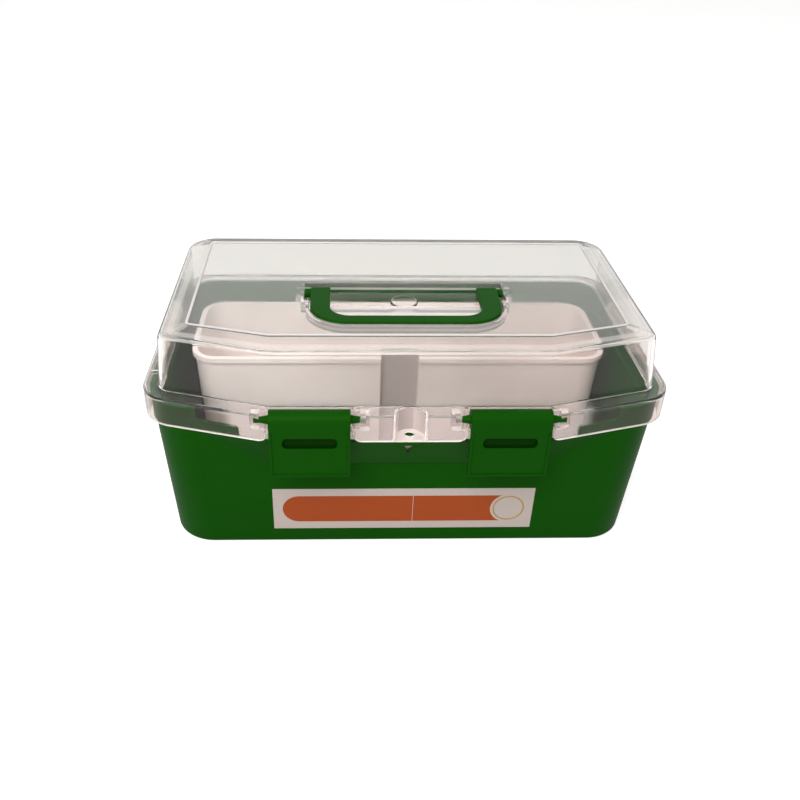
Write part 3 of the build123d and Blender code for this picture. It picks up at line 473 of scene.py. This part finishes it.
def printed_film():
    """Self-adhesive film, printed and laminated: crisp flat colours under a satin skin."""
    values = bpy.context.scene.carry_case_label
    material, tree = new_material("label_film_printed")
    place, axes = own_place(tree)

    def distance_to(x_from, x_to):
        """How far a point is from a level line on the label between two X values."""
        nearest = axes["X"]
        for operation, end in (("MAXIMUM", x_from), ("MINIMUM", x_to)):
            nearest = add_node(tree, "ShaderNodeMath", {0: nearest, 1: end},
                               operation=operation).outputs["Value"]
        middle_z = (LABEL_LOW.z + LABEL_HIGH.z) / 2
        gap = add_node(tree, "ShaderNodeCombineXYZ",
                       {"X": away(tree, axes["X"], nearest), "Z": away(tree, axes["Z"], middle_z)})
        return add_node(tree, "ShaderNodeVectorMath", {0: gap.outputs["Vector"]},
                        operation="LENGTH").outputs["Value"]

    def inked(below, distance, reach, ink):
        """Prints an ink over what is below, as far as it reaches."""
        past = add_node(tree, "ShaderNodeMath", {0: distance, 1: reach}, operation="SUBTRACT")
        mask = add_node(tree, "ShaderNodeMath",
                        {0: past.outputs["Value"], 1: -1 / INK_EDGE, 2: 0.5},
                        operation="MULTIPLY_ADD", use_clamp=True).outputs["Value"]
        return laid_over(tree, below, mask, ink)

    radius = values.band_height / 2
    band = distance_to(values.band_left + radius, values.band_right)
    divider = away(tree, axes["X"], values.divider_x)
    disc = distance_to(values.disc_x, values.disc_x)
    ring = away(tree, disc, values.ring_radius)
    colour = inked(values.film_white, band, radius, values.band_orange)
    colour = inked(colour, divider, values.divider_width / 2, values.film_white)
    colour = inked(colour, disc, values.disc_radius, values.film_white)
    colour = inked(colour, ring, values.ring_width / 2, values.ring_ochre)
    mottle = add_node(tree, "ShaderNodeTexNoise",
                      {"Vector": place, "Scale": 1 / values.mottle_width, "Detail": 4.0})
    fade = add_node(tree, "ShaderNodeMapRange",
                    {"Value": mottle.outputs["Fac"], "To Min": 0.94, "To Max": 1.03})
    shade = add_node(tree, "ShaderNodeVectorMath",
                     {0: colour, "Scale": fade.outputs["Result"]}, operation="SCALE")
    skin = add_node(tree, "ShaderNodeBsdfPrincipled",
                    {"Base Color": shade.outputs["Vector"], "Roughness": 0.38, "IOR": 1.5,
                     "Specular IOR Level": 0.2})
    add_node(tree, "ShaderNodeOutputMaterial", {"Surface": skin.outputs["BSDF"]})
    return material


class CARRYCASE_OT_green_parts(bpy.types.Operator):
    """Finish the tub, the handle and the latches in moulded green."""

    bl_idname = "carry_case.green_parts"
    bl_label = "Tub, handle and latches"

    def execute(self, context):
        material = moulded_green()
        for name in ("tub", "handle", "latch_left", "latch_right"):
            dress(name, material)
        return {"FINISHED"}


class CARRYCASE_OT_lid(bpy.types.Operator):
    """Finish the lid in clear moulded plastic."""

    bl_idname = "carry_case.lid"
    bl_label = "Clear lid"

    def execute(self, context):
        dress("lid", moulded_clear())
        return {"FINISHED"}


class CARRYCASE_OT_inner_box(bpy.types.Operator):
    """Finish the lift-out box in matt white."""

    bl_idname = "carry_case.inner_box"
    bl_label = "Lift-out box"

    def execute(self, context):
        dress("inner_box", moulded_white())
        return {"FINISHED"}


class CARRYCASE_OT_hinge_rod(bpy.types.Operator):
    """Finish the hinge rod in bare steel."""

    bl_idname = "carry_case.hinge_rod"
    bl_label = "Hinge rod"

    def execute(self, context):
        dress("hinge_rod", drawn_steel())
        return {"FINISHED"}


class CARRYCASE_OT_label(bpy.types.Operator):
    """Print the label: a round-ended band, a divider and a plain ring."""

    bl_idname = "carry_case.label"
    bl_label = "Label"

    def execute(self, context):
        dress("label", printed_film())
        return {"FINISHED"}


def make_world(values):
    """Even light, white behind the object and in its reflections."""
    world = bpy.data.worlds.new("studio_white")
    world.use_nodes = True
    tree = world.node_tree
    tree.nodes.clear()
    path = add_node(tree, "ShaderNodeLightPath").outputs
    seen = strongest(tree, (path["Is Camera Ray"], 1.0), (path["Is Glossy Ray"], 1.0),
                     (path["Is Transmission Ray"], 1.0))
    strength = add_node(tree, "ShaderNodeMapRange",
                        {"Value": seen, "To Min": values.sky, "To Max": 1.0})
    light = add_node(tree, "ShaderNodeBackground",
                     {"Color": WHITE, "Strength": strength.outputs["Result"]})
    add_node(tree, "ShaderNodeOutputWorld", {"Surface": light.outputs["Background"]})
    bpy.context.scene.world = world


def painted_floor(values):
    """Paint, rolled on a hard floor: matt with faint clouds, lifted to white where it is seen."""
    material, tree = new_material("floor_paint_matt")
    place = add_node(tree, "ShaderNodeTexCoord").outputs["Object"]
    cloud = add_node(tree, "ShaderNodeTexNoise",
                     {"Vector": place, "Scale": 1 / FLOOR_CLOUD, "Detail": 2.0})
    roughness = add_node(tree, "ShaderNodeMapRange",
                         {"Value": cloud.outputs["Fac"], "To Min": 0.75, "To Max": 0.85})
    paint = add_node(tree, "ShaderNodeBsdfPrincipled",
                     {"Base Color": (*values.floor_colour, 1), "Specular IOR Level": 0.2,
                      "Roughness": roughness.outputs["Result"]})
    path = add_node(tree, "ShaderNodeLightPath").outputs
    lift = 0.0
    for ray, share in (("Is Glossy Ray", values.mirror_lift),
                       ("Is Transmission Ray", values.glass_lift),
                       ("Is Camera Ray", values.floor_lift)):
        lift = add_node(tree, "ShaderNodeMath", {0: path[ray], 1: share, 2: lift},
                        operation="MULTIPLY_ADD").outputs["Value"]
    glow = add_node(tree, "ShaderNodeEmission", {"Color": WHITE, "Strength": lift})
    both = add_node(tree, "ShaderNodeAddShader",
                    {0: paint.outputs["BSDF"], 1: glow.outputs["Emission"]})
    add_node(tree, "ShaderNodeOutputMaterial", {"Surface": both.outputs["Shader"]})
    return material


def make_floor(values):
    """A wide pale floor that keeps the object's shadow and reads as white to the camera."""
    mesh = bpy.data.meshes.new("floor")
    shape = bmesh.new()
    bmesh.ops.create_grid(shape, x_segments=1, y_segments=1, size=FLOOR_HALF)
    shape.to_mesh(mesh)
    shape.free()
    mesh.materials.append(painted_floor(values))
    floor = bpy.data.objects.new("floor", mesh)
    bpy.context.scene.collection.objects.link(floor)


def make_lamp(name, power, size, place, target):
    """A square softbox that faces a point."""
    lamp = bpy.data.lights.new(name, "AREA")
    lamp.energy = power
    lamp.shape = "SQUARE"
    lamp.size = size
    stand = bpy.data.objects.new(name, lamp)
    stand.location = place
    stand.rotation_euler = (Vector(target) - Vector(place)).to_track_quat("-Z", "Y").to_euler()
    bpy.context.scene.collection.objects.link(stand)


def make_camera(values):
    """The camera, standing where the photograph was taken."""
    camera = bpy.data.cameras.new("camera")
    camera.lens = values.lens
    camera.sensor_width = SENSOR_WIDTH_MM
    camera.shift_x = values.shift
    stand = bpy.data.objects.new("camera", camera)
    stand.location = values.camera_place
    stand.rotation_euler = values.camera_turn
    bpy.context.scene.collection.objects.link(stand)
    bpy.context.scene.camera = stand


class CARRYCASE_OT_studio(bpy.types.Operator):
    """Make the floor, the soft light and the camera."""

    bl_idname = "carry_case.studio"
    bl_label = "Studio"

    def execute(self, context):
        values = context.scene.carry_case_studio
        context.scene.view_settings.view_transform = "Standard"
        make_world(values)
        make_floor(values)
        make_lamp("overhead_softbox", values.key_power, KEY_SIZE, KEY_PLACE, KEY_TARGET)
        make_lamp("front_softbox", values.fill_power, FILL_SIZE, FILL_PLACE, FILL_TARGET)
        make_camera(values)
        return {"FINISHED"}


class CARRYCASE_PT_panel(bpy.types.Panel):
    """The case's settings and pieces."""

    bl_idname = "CARRYCASE_PT_panel"
    bl_label = "Carry case"
    bl_space_type = "VIEW_3D"
    bl_region_type = "UI"
    bl_category = "Carry case"

    def draw(self, context):
        for name in GROUPS:
            group = getattr(context.scene, name)
            column = self.layout.column()
            for key in group.bl_rna.properties.keys():
                if key not in ("rna_type", "name"):
                    column.prop(group, key)
        for operator in OPERATORS:
            self.layout.operator(operator.bl_idname)


GROUPS = {
    "carry_case_finish": CarryCaseFinish,
    "carry_case_label": CarryCaseLabel,
    "carry_case_studio": CarryCaseStudio,
}
OPERATORS = (
    CARRYCASE_OT_studio,
    CARRYCASE_OT_green_parts,
    CARRYCASE_OT_lid,
    CARRYCASE_OT_inner_box,
    CARRYCASE_OT_hinge_rod,
    CARRYCASE_OT_label,
)


def register():
    for kind in (*GROUPS.values(), *OPERATORS, CARRYCASE_PT_panel):
        bpy.utils.register_class(kind)
    for name, group in GROUPS.items():
        setattr(bpy.types.Scene, name, PointerProperty(type=group))


def unregister():
    for name in GROUPS:
        delattr(bpy.types.Scene, name)
    for kind in reversed((*GROUPS.values(), *OPERATORS, CARRYCASE_PT_panel)):
        bpy.utils.unregister_class(kind)


def main():
    register()
    for operator in OPERATORS:
        group, name = operator.bl_idname.split(".")
        getattr(getattr(bpy.ops, group), name)()


if __name__ == "__main__":
    main()
